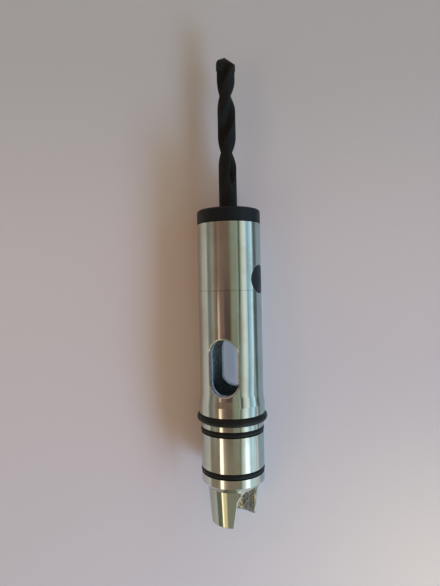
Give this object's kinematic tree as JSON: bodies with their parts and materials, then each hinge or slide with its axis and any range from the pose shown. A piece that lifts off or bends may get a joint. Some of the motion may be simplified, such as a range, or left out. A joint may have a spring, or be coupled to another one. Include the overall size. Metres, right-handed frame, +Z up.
{
  "type": "pilot drill bit",
  "caption": "Masonry pilot drill in a turned steel body with a window, rubber sealing rings and a slotted drive nose.",
  "frame": {"origin": "on the surface that the tool lies on, under the middle of its length", "axes": "+Y along the tool towards the drill point, +Z up; the tool's axis dips 0.99 degrees towards the point"},
  "size_m": [0.0292, 0.1909, 0.029],
  "materials": {
    "bright_plated_steel": "bright plated turning, polished, with fine turning lines",
    "black_holder": "satin black",
    "blackened_drill": "matt black",
    "coated_carbide": "matt black coating, brighter at the cutting edges",
    "black_screw": "black oxide",
    "plug_plastic": "satin black plastic",
    "ring_rubber": "satin black rubber"
  },
  "bodies": {
    "root": {"body_tube": "bright_plated_steel", "drill_holder": "black_holder", "drill_shaft": "blackened_drill", "carbide_tip": "coated_carbide", "clamp_screw": "black_screw", "side_plug": "plug_plastic", "large_o_ring": "ring_rubber", "middle_o_ring": "ring_rubber", "lower_o_ring": "ring_rubber"}
  },
  "joints": []
}
